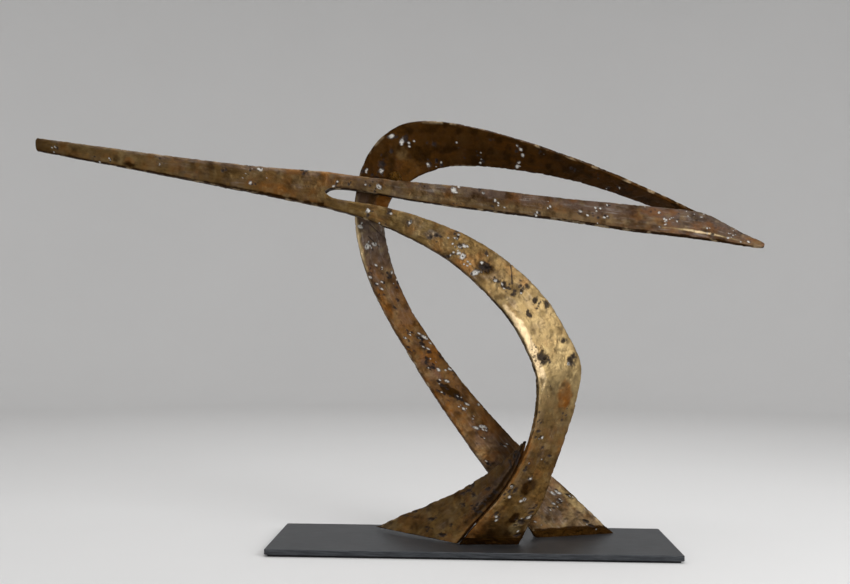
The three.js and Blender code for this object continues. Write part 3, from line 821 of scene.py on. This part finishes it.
def mesh_piece(name, points, turned, sharp_ends, weights):
    """One closed mesh from a grid of rows: four-sided faces between the rows, and a fan at both ends."""
    rows, around = points.shape[:2]
    number = np.arange(rows * around).reshape(rows, around)
    quads = quads_between(number)
    first_pole, last_pole = rows * around, rows * around + 1
    start, end = number[0], number[-1]
    fans = np.vstack([
        np.stack([np.roll(start, -1), start, np.full(around, first_pole)], axis=1),
        np.stack([end, np.roll(end, -1), np.full(around, last_pole)], axis=1),
    ])
    if turned:
        quads, fans = quads[:, ::-1], fans[:, ::-1]
    poles = np.stack([points[0].mean(0), points[-1].mean(0)])
    places = np.vstack([points.reshape(-1, 3), poles])
    mesh = bpy.data.meshes.new(name)
    mesh.vertices.add(len(places))
    mesh.vertices.foreach_set("co", places.astype(np.float32).ravel())
    mesh.loops.add(quads.size + fans.size)
    mesh.loops.foreach_set("vertex_index", np.concatenate([quads.ravel(), fans.ravel()]).astype(np.int32))
    mesh.polygons.add(len(quads) + len(fans))
    starts = np.concatenate([np.arange(len(quads)) * 4, quads.size + np.arange(len(fans)) * 3])
    mesh.polygons.foreach_set("loop_start", starts.astype(np.int32))
    mesh.update(calc_edges=True)
    mesh.polygons.foreach_set("use_smooth", np.ones(len(mesh.polygons), bool))
    ends = np.empty(len(mesh.edges) * 2, int)
    mesh.edges.foreach_get("vertices", ends)
    ends = ends.reshape(-1, 2)
    sharp = np.zeros(len(ends), bool)
    for is_sharp, low in zip(sharp_ends, (0, (rows - 1) * around)):
        if is_sharp:
            sharp |= ((ends >= low) & (ends < low + around)).all(1)
    mesh.edges.foreach_set("use_edge_sharp", sharp)
    for key, values in weights.items():
        size = values.shape[2:]
        filled = np.concatenate([values.reshape(-1, *size), values[[0, -1]].mean(1)])
        kind = "FLOAT_VECTOR" if size else "FLOAT"
        attribute = mesh.attributes.new(key, kind, "POINT")
        attribute.data.foreach_set("vector" if size else "value", filled.astype(np.float32).ravel())
    piece = bpy.data.objects.new(name, mesh)
    bpy.context.scene.collection.objects.link(piece)
    return piece


def put(piece, node, finish):
    """Gives a new piece its finish, and has it stand for a CAD node and ride with the sculpture."""
    piece.data.materials.append(finish)
    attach(piece, BODY)
    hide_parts(node)


def make_ribbon(name):
    """Every casting and weld of one ribbon."""
    line = LINES[name]
    skin = Skin(line, LINES["spear"] if name in ("blade", "front") else None)
    marks = Marks(skin)
    marks.graded(ALONG[name])
    marks.clouded()
    for patch in PATCHES:
        if patch[1] in marks.spans:
            marks.patch(*patch)
    draw = np.random.default_rng(SEEDS[name])
    for node in line.castings:
        marks.strewn(draw, node)
    for node, share, across, count, spread, radius, chance in GROUPS:
        if node in marks.spans:
            at = marks.place(node, share)
            wide = across * np.interp(at, skin.along, skin.width)
            marks.group(draw, at, wide, count, spread * MM, radius * MM, chance, 1)
    for crack in CRACKS:
        if crack[0] in marks.spans:
            marks.crack(*crack)
    if KNOB[0] in marks.spans:
        marks.knob(*KNOB)
    marks.beads()
    marks.edges()
    points, weights = marks.finished()
    for i, (node, _, _) in enumerate(skin.pieces):
        first, last = skin.rows_of[node]
        rows = slice(first, last + 1)
        sharp = (i > 0 or line.ends[0] == "joint", i < len(skin.pieces) - 1 or line.ends[1] == "joint")
        held = {key: values[rows] for key, values in weights.items()}
        put(mesh_piece(f"{node}_cast", points[rows], skin.turned, sharp, held), node, bronze(SLOT_OF[node]))


class Block(Line):
    """A foot block read back as a short upright ribbon: its level top and bottom outlines."""

    def __init__(self, node, ribbon, screws):
        points, _ = merged(node)
        axes = np.array([middle(screw)[:2] for screw in screws])
        clear = (np.linalg.norm(points[:, None, :2] - axes, axis=2) > SCREW_CLEAR).all(1)
        rings = []
        for height in (points[:, 2].max(), points[:, 2].min()):
            ring = points[clear & (np.abs(points[:, 2] - height) < LEVEL)]
            if len(ring) != RING:
                raise RuntimeError(f"{node}: a level outline has {len(ring)} points, not {RING}")
            rings.append(in_order(ring))
        rings = np.array(numbered(rings, np.array(RIBBONS[ribbon][1], float)))
        self.name, self.castings, self.around, self.ends = node, [node], FOOT_AROUND, ("joint", "joint")
        self.measure(rings)
        self.knots = np.array([0.0, np.linalg.norm(self.centre[1] - self.centre[0])])
        self.spans = [(self.knots[0] + HALF_GAP, self.knots[1] - HALF_GAP)]


def make_foot(node):
    """A dark, scaly foot block."""
    skin = Skin(Block(node, *FEET[node]), step=FOOT_ROW_STEP)
    marks = Marks(skin)
    marks.tones["umber"] += 1.0 - 0.12 * smooth(0, 1, marks.ragged)
    scale = smooth(0.0, 0.5, named_noise(skin.points, "scale"))
    marks.depth += FOOT_SCALE * scale
    points, weights = marks.finished()
    put(mesh_piece(f"{node}_cast", points, skin.turned, (True, True), weights), node, bronze(SLOT_OF[node]))


def make_crossing_weld():
    """The lump of weld where the rear leg passes behind the fork: an ellipsoid in its CAD node's box,
    x = a cos(v) cos(u), y = b cos(v) sin(u), z = c sin(v), pressed in by noise."""
    node = "crossing_weld"
    low, high = (np.array(corner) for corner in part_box(node))
    v = np.linspace(-math.pi / 2, math.pi / 2, 60)[1:-1, None]
    u = np.arange(96) * 2 * math.pi / 96
    ball = np.stack([np.cos(v) * np.cos(u), np.cos(v) * np.sin(u), np.sin(v) + 0 * u], axis=-1)
    points = (low + high) / 2 + ball * (high - low) / 2
    lumps = named_noise(points, "weld")
    points = points - ball * (np.clip(3.5 - 3.0 * lumps, 0, 8) * MM)[..., None]
    weights = {tone: np.zeros(points.shape[:2]) for tone in TONES}
    weights["umber"] += np.clip(0.55 + 0.25 * lumps, 0, 1)
    weights["copper"] += 0.25
    weights["flow"] = points - low
    piece = mesh_piece("crossing_weld_cast", points, False, (False, False), weights)
    put(piece, node, bronze(SLOT_OF[node]))


# ---------------------------------------------------------------- finishes
class Wire:
    """A socket that carries a number, so that sums on it add Math nodes."""

    def __init__(self, finish, socket):
        self.finish = finish
        self.socket = socket

    def __add__(self, other):
        return self.finish.maths("ADD", self, other)

    def __sub__(self, other):
        return self.finish.maths("SUBTRACT", self, other)

    def __rsub__(self, other):
        return self.finish.maths("SUBTRACT", other, self)

    def __mul__(self, other):
        return self.finish.maths("MULTIPLY", self, other)

    __radd__ = __add__
    __rmul__ = __mul__


class Finish:
    """A material being built round one Principled shader."""

    def __init__(self, name):
        self.material = bpy.data.materials.new(name)
        self.material.use_nodes = True
        self.tree = self.material.node_tree
        self.shader = self.tree.nodes["Principled BSDF"]

    def node(self, kind, outlet, settings=None, inputs=None):
        """A node of any type: its settings first, then the values or links of its sockets."""
        made = self.tree.nodes.new(kind)
        for key, value in (settings or {}).items():
            setattr(made, key, value)
        for key, value in (inputs or {}).items():
            self.feed(made.inputs[key], value)
        return Wire(self, made.outputs[outlet])

    def feed(self, socket, value):
        """Links a wire to a socket, or sets the socket's own value."""
        if isinstance(value, Wire):
            self.tree.links.new(value.socket, socket)
        else:
            socket.default_value = value

    def maths(self, operation, a, b, clamped=False):
        return self.node("ShaderNodeMath", 0, {"operation": operation, "use_clamp": clamped}, {0: a, 1: b})

    def between(self, value, low, high):
        """0 below low and 1 above high, eased."""
        settings = {"interpolation_type": "SMOOTHSTEP"}
        return self.node("ShaderNodeMapRange", 0, settings, {0: value, 1: low, 2: high})

    def mix(self, share, below, above):
        """A colour between two others."""
        return self.node("ShaderNodeMix", 2, {"data_type": "RGBA"}, {0: share, 6: below, 7: above})

    def grain(self, place, scale, detail=4.0, roughness=0.6):
        inputs = {"Vector": place, "Scale": scale, "Detail": detail, "Roughness": roughness}
        return self.node("ShaderNodeTexNoise", 0, None, inputs)

    def bumped(self, height, strength, distance):
        inputs = {"Strength": strength, "Distance": distance, "Height": height}
        self.set("Normal", self.node("ShaderNodeBump", 0, None, inputs))

    def set(self, socket, value):
        self.feed(self.shader.inputs[socket], value)


def rgb(red, green, blue):
    return (red, green, blue, 1.0)


def bronze(slot):
    """Cast bronze with a worked patina. The tones laid on the surface, some of them painted light and shade,
    are mixed with mottled edges.
    """
    name = f"{slot}_patina"
    if name in bpy.data.materials:
        return bpy.data.materials[name]
    f = Finish(name)
    here = f.node("ShaderNodeTexCoord", "Object")
    flow = f.node("ShaderNodeAttribute", "Vector", {"attribute_name": "flow"})
    tone = {t: f.node("ShaderNodeAttribute", "Fac", {"attribute_name": t}) for t in TONES}
    broad = f.grain(here, 55.0)
    fine = f.grain(here, 320.0, 6.0, 0.7)
    speck = f.grain(here, 1300.0, 2.0)
    streak = f.grain(flow, 170.0, 5.0, 0.65)
    mottle = 0.4 * broad + 0.4 * streak + 0.2 * fine

    def ragged(weight):
        swing = weight * (1.0 - weight) * 6.0
        return f.maths("ADD", weight, (mottle - 0.5) * swing, clamped=True)

    patina = bpy.context.scene.patina
    colour = f.mix(f.between(mottle, 0.38, 0.62), patina.dark[:], patina.brown[:])
    colour = f.mix(ragged(tone["violet"]), colour, patina.violet[:])
    silvery = f.between(streak, 0.52, 0.66) * tone["violet"]
    colour = f.mix(silvery * 0.8, colour, patina.silver[:])
    for zone in ("copper", "gold", "umber", "worn"):
        colour = f.mix(ragged(tone[zone]), colour, getattr(patina, zone)[:])
    colour = f.mix(f.between(speck, 0.60, 0.72) * 0.45, colour, patina.speck[:])
    for filling in ("pit", "residue"):
        colour = f.mix(tone[filling], colour, getattr(patina, filling)[:])
    f.set("Base Color", colour)
    f.set("Metallic", f.maths("SUBTRACT", 1.0 - 0.5 * tone["pit"], tone["residue"], clamped=True))
    rough = 0.32 + 0.28 * fine + 0.25 * tone["pit"] + 0.4 * tone["residue"] + 0.12 * tone["umber"]
    f.set("Roughness", f.maths("SUBTRACT", rough, 0.08 * tone["gold"], clamped=True))
    f.bumped(0.7 * fine + 0.3 * speck, 0.6, 1.0 * MM)
    return f.material


def blackened_steel():
    """Slate grey, half-gloss plate steel, streaked along its length, with faint rust bloom."""
    f = Finish("slate_steel")
    here = f.node("ShaderNodeTexCoord", "Object")
    drawn = f.node("ShaderNodeMapping", 0, None, {"Vector": here, "Scale": (6.0, 90.0, 90.0)})
    streak = f.grain(drawn, 6.0, 5.0)
    cloud = f.grain(here, 14.0, 5.0)
    fine = f.grain(here, 700.0, 3.0)
    colour = f.mix(f.between(streak, 0.35, 0.65), rgb(0.035, 0.038, 0.043), rgb(0.075, 0.080, 0.088))
    colour = f.mix(f.between(cloud, 0.52, 0.75) * 0.6, colour, rgb(0.11, 0.115, 0.12))
    f.set("Base Color", colour)
    f.set("Metallic", 0.75)
    f.set("Roughness", 0.30 + 0.16 * cloud + 0.10 * streak)
    f.bumped(fine, 0.12, 0.2 * MM)
    return f.material


def felt():
    """Pressed black felt with loose fibres; its near-black colour also paints the shade in the gap under the
    plate.
    """
    f = Finish("pressed_felt")
    here = f.node("ShaderNodeTexCoord", "Object")
    fibre = f.grain(here, 900.0, 6.0, 0.8)
    f.set("Base Color", f.mix(fibre, rgb(0.004, 0.004, 0.005), rgb(0.020, 0.020, 0.022)))
    f.set("Roughness", 0.95)
    f.bumped(fibre, 0.8, 0.4 * MM)
    return f.material


def zinc():
    """Zinc-plated screw steel with a faint spangle."""
    f = Finish("zinc_plate")
    here = f.node("ShaderNodeTexCoord", "Object")
    spangle = f.grain(here, 500.0, 3.0)
    f.set("Base Color", f.mix(spangle, rgb(0.34, 0.35, 0.36), rgb(0.56, 0.57, 0.58)))
    f.set("Metallic", 1.0)
    f.set("Roughness", 0.28 + 0.2 * spangle)
    f.bumped(spangle, 0.1, 0.1 * MM)
    return f.material


def refinish(slot, material):
    """Gives every CAD node of one material slot a better material."""
    for node, its_slot in SLOT_OF.items():
        if its_slot == slot:
            for place in frame["nodes"][node].material_slots:
                place.material = material


# ---------------------------------------------------------------- studio
FLOOR_RINGS = (0.02, 1.0, 2.0)  # radii of the rings on the flat floor, in metres
COVE_RINGS = 25
SURROUND_AROUND = 128
LENS_LENGTH = 43.67             # mm
CAMERA_PLACE = (-0.0138, -1.582, 0.330)
CAMERA_TURN = (2.2, 2.01, -0.43)  # yaw, pitch and roll in degrees
# Each softbox: where it stands, the point it faces and its side, in metres.
SOFTBOXES = {
    "key": ((1.7, -1.5, 1.3), (0, 0, 0.3), 1.3),
    "fill": ((-1.9, -1.3, 1.1), (0, 0, 0.35), 1.6),
    "top": ((0, 0.2, 2.6), (0, 0, 0.3), 2.4),
}


def make_surround():
    """Floor and backdrop in one: a flat disc whose rim rises in a quarter circle to an upright wall,
    turned about the vertical."""
    studio = bpy.context.scene.studio
    bend = np.linspace(0, math.pi / 2, COVE_RINGS)
    cove = studio.radius - studio.cove * (1 - np.sin(bend))
    out = np.concatenate([FLOOR_RINGS, cove, [studio.radius]])[:, None]
    up = np.concatenate([[0, 0, 0], studio.cove * (1 - np.cos(bend)), [studio.height]])[:, None]
    turn = np.arange(SURROUND_AROUND) * 2 * math.pi / SURROUND_AROUND
    points = np.stack([out * np.cos(turn), out * np.sin(turn), up + 0 * turn], axis=-1)
    number = np.arange(len(points) * SURROUND_AROUND).reshape(-1, SURROUND_AROUND)
    quads = quads_between(number)[:, [0, 3, 2, 1]]
    mesh = bpy.data.meshes.new("surround")
    mesh.from_pydata(points.reshape(-1, 3).tolist(), [], quads.tolist() + [number[0].tolist()])
    mesh.polygons.foreach_set("use_smooth", np.ones(len(mesh.polygons), bool))
    f = Finish("studio_paper")
    here = f.node("ShaderNodeTexCoord", "Object")
    shade = f.grain(here, 1.3, 3.0)
    f.set("Base Color", f.mix(shade, rgb(0.74, 0.74, 0.74), rgb(0.78, 0.78, 0.78)))
    f.set("Roughness", 0.9)
    mesh.materials.append(f.material)
    surround = bpy.data.objects.new("surround", mesh)
    bpy.context.scene.collection.objects.link(surround)


def make_softbox(name, place, aim, size, power):
    """A square area lamp facing a point, not seen by the camera itself."""
    lamp = bpy.data.lights.new(name, "AREA")
    lamp.energy = power
    lamp.size = size
    box = bpy.data.objects.new(name, lamp)
    facing = (Vector(aim) - Vector(place)).to_track_quat("-Z", "Y")
    box.matrix_world = Matrix.Translation(place) @ facing.to_matrix().to_4x4()
    box.visible_camera = False
    bpy.context.scene.collection.objects.link(box)


def make_camera():
    """A camera in front of the long side, a little left of the middle and nearly level."""
    lens = bpy.data.cameras.new("camera")
    lens.lens = LENS_LENGTH
    lens.clip_end = 50
    camera = bpy.data.objects.new("camera", lens)
    yaw, pitch, roll = (math.radians(angle) for angle in CAMERA_TURN)
    turn = Matrix.Rotation(yaw, 3, "Z") @ Matrix.Rotation(pitch, 3, "X") @ Matrix.Rotation(roll, 3, "Y")
    upright = Matrix.Rotation(math.radians(90), 3, "X")
    camera.matrix_world = Matrix.Translation(CAMERA_PLACE) @ (turn @ upright).to_4x4()
    bpy.context.scene.collection.objects.link(camera)
    bpy.context.scene.camera = camera


def make_studio():
    """Surround, camera, a big soft key from the front right, a weak fill from the left and dim air."""
    studio = bpy.context.scene.studio
    make_surround()
    make_camera()
    for name, (place, aim, size) in SOFTBOXES.items():
        make_softbox(name, place, aim, size, getattr(studio, name))
    world = bpy.data.worlds.new("air")
    world.use_nodes = True
    world.node_tree.nodes["Background"].inputs[0].default_value = rgb(1.0, 0.98, 0.96)
    world.node_tree.nodes["Background"].inputs[1].default_value = studio.air
    bpy.context.scene.world = world
    bpy.context.scene.view_settings.view_transform = "Standard"


# ---------------------------------------------------------------- add-on
def amount(name, description, default, unit="LENGTH"):
    """A number that the user can change."""
    return bpy.props.FloatProperty(name=name, description=description, default=default, unit=unit)


def tint(name, description, red, green, blue):
    """A colour that the user can change."""
    return bpy.props.FloatVectorProperty(
        name=name, description=description, default=rgb(red, green, blue), size=4, subtype="COLOR",
        min=0.0, max=1.0,
    )


class Casting(bpy.types.PropertyGroup):
    """How rough the cast skin is."""

    waves: amount("Waves", "Depth of the broad waves in the cast skin", 0.5 * MM)
    lumps: amount("Lumps", "Depth of the hammered lumps", 0.9 * MM)
    dents: amount("Dents", "Depth of the hammer dents", 0.6 * MM)
    grain: amount("Grain", "Depth of the fine grain", 0.12 * MM)
    nicks: amount("Edge nicks", "Depth of the nicks along the edges", 0.8 * MM)


class Patina(bpy.types.PropertyGroup):
    """Colours of the bronze."""

    dark: tint("Dark", "Hollows of the plain bronze", 0.050, 0.023, 0.003)
    brown: tint("Brown", "Plain bronze", 0.19, 0.103, 0.018)
    # violet also paints the reflection of the bright room on up-facing faces: the spear's and rear leg's
    # tops, the blade's upper half and the beak
    violet: tint("Violet", "Violet-brown zones", 0.110, 0.080, 0.070)
    silver: tint("Silver", "Silvery streaks in the violet zones", 0.30, 0.285, 0.275)
    copper: tint("Copper", "Red-brown zones", 0.20, 0.070, 0.010)
    # gold also paints the knee's highlight and the blade's lighter lower half
    gold: tint("Gold", "Polished zones", 0.36, 0.26, 0.12)
    # umber also paints shade on the arch, along undersides and on narrow inner sides
    umber: tint("Umber", "Darkest zones", 0.026, 0.011, 0.002)
    # this tint also paints the highlight along the knee's inner edge
    worn: tint("Worn", "Rubbed edges", 0.62, 0.47, 0.28)
    speck: tint("Specks", "Fine dark specks", 0.05, 0.033, 0.02)
    pit: tint("Pits", "Inside of the casting pits", 0.024, 0.015, 0.012)
    residue: tint("Residue", "Pale residue in some pits", 0.58, 0.56, 0.52)


class Studio(bpy.types.PropertyGroup):
    """Surround and lamps."""

    radius: amount("Radius", "From the middle to the upright wall", 4.0)
    cove: amount("Cove", "Radius of the bend from floor to wall", 1.2)
    height: amount("Height", "Height of the wall", 4.0)
    key: amount("Key", "Power of the key lamp", 34.0, "POWER")
    fill: amount("Fill", "Power of the fill lamp", 4.0, "POWER")
    top: amount("Top", "Power of the top lamp", 30.0, "POWER")
    air: amount("Air", "Strength of the light all round", 0.42, "NONE")


class SCULPTURE_OT_spear(bpy.types.Operator):
    """Cast the spear"""

    bl_idname = "sculpture.spear"
    bl_label = "Spear"

    def execute(self, context):
        make_ribbon("spear")
        return {"FINISHED"}


class SCULPTURE_OT_blade(bpy.types.Operator):
    """Cast the blade and its beak"""

    bl_idname = "sculpture.blade"
    bl_label = "Blade"

    def execute(self, context):
        make_ribbon("blade")
        return {"FINISHED"}


class SCULPTURE_OT_rear(bpy.types.Operator):
    """Cast the arch and the rear leg"""

    bl_idname = "sculpture.rear"
    bl_label = "Arch and rear leg"

    def execute(self, context):
        make_ribbon("rear")
        return {"FINISHED"}


class SCULPTURE_OT_front(bpy.types.Operator):
    """Cast the front leg, knee and shin"""

    bl_idname = "sculpture.front"
    bl_label = "Front leg"

    def execute(self, context):
        make_ribbon("front")
        return {"FINISHED"}


class SCULPTURE_OT_fin(bpy.types.Operator):
    """Cast the fin"""

    bl_idname = "sculpture.fin"
    bl_label = "Fin"

    def execute(self, context):
        make_ribbon("fin")
        return {"FINISHED"}


class SCULPTURE_OT_feet(bpy.types.Operator):
    """Cast the two foot blocks"""

    bl_idname = "sculpture.feet"
    bl_label = "Foot blocks"

    def execute(self, context):
        for node in FEET:
            make_foot(node)
        return {"FINISHED"}


class SCULPTURE_OT_crossing_weld(bpy.types.Operator):
    """Lay the weld where the rear leg passes the fork"""

    bl_idname = "sculpture.crossing_weld"
    bl_label = "Crossing weld"

    def execute(self, context):
        make_crossing_weld()
        return {"FINISHED"}


class SCULPTURE_OT_plinth(bpy.types.Operator):
    """Finish the steel plate, the felt and the screws"""

    bl_idname = "sculpture.plinth"
    bl_label = "Plinth"

    def execute(self, context):
        refinish("black_steel", blackened_steel())
        refinish("felt", felt())
        refinish("zinc_steel", zinc())
        return {"FINISHED"}


class SCULPTURE_OT_studio(bpy.types.Operator):
    """Set up the surround, the lamps and the camera"""

    bl_idname = "sculpture.studio"
    bl_label = "Studio"

    def execute(self, context):
        make_studio()
        return {"FINISHED"}


OPERATORS = (
    SCULPTURE_OT_spear, SCULPTURE_OT_blade, SCULPTURE_OT_rear, SCULPTURE_OT_front, SCULPTURE_OT_fin,
    SCULPTURE_OT_feet, SCULPTURE_OT_crossing_weld, SCULPTURE_OT_plinth, SCULPTURE_OT_studio,
)


class SCULPTURE_PT_panel(bpy.types.Panel):
    """Lists the steps that build the sculpture"""

    bl_idname = "SCULPTURE_PT_panel"
    bl_label = "Ribbon Sculpture"
    bl_space_type = "VIEW_3D"
    bl_region_type = "UI"
    bl_category = "Sculpture"

    def draw(self, context):
        for operator in OPERATORS:
            self.layout.operator(operator.bl_idname)


GROUPS_OF_SETTINGS = {"casting": Casting, "patina": Patina, "studio": Studio}
CLASSES = (*GROUPS_OF_SETTINGS.values(), *OPERATORS, SCULPTURE_PT_panel)


def register():
    for cls in CLASSES:
        bpy.utils.register_class(cls)
    for name, group in GROUPS_OF_SETTINGS.items():
        setattr(bpy.types.Scene, name, bpy.props.PointerProperty(type=group))


def unregister():
    for name in GROUPS_OF_SETTINGS:
        delattr(bpy.types.Scene, name)
    for cls in reversed(CLASSES):
        bpy.utils.unregister_class(cls)


def main():
    """Builds the whole scene."""
    register()
    bpy.ops.sculpture.spear()
    bpy.ops.sculpture.blade()
    bpy.ops.sculpture.rear()
    bpy.ops.sculpture.front()
    bpy.ops.sculpture.fin()
    bpy.ops.sculpture.feet()
    bpy.ops.sculpture.crossing_weld()
    bpy.ops.sculpture.plinth()
    bpy.ops.sculpture.studio()


if __name__ == "__main__":
    main()
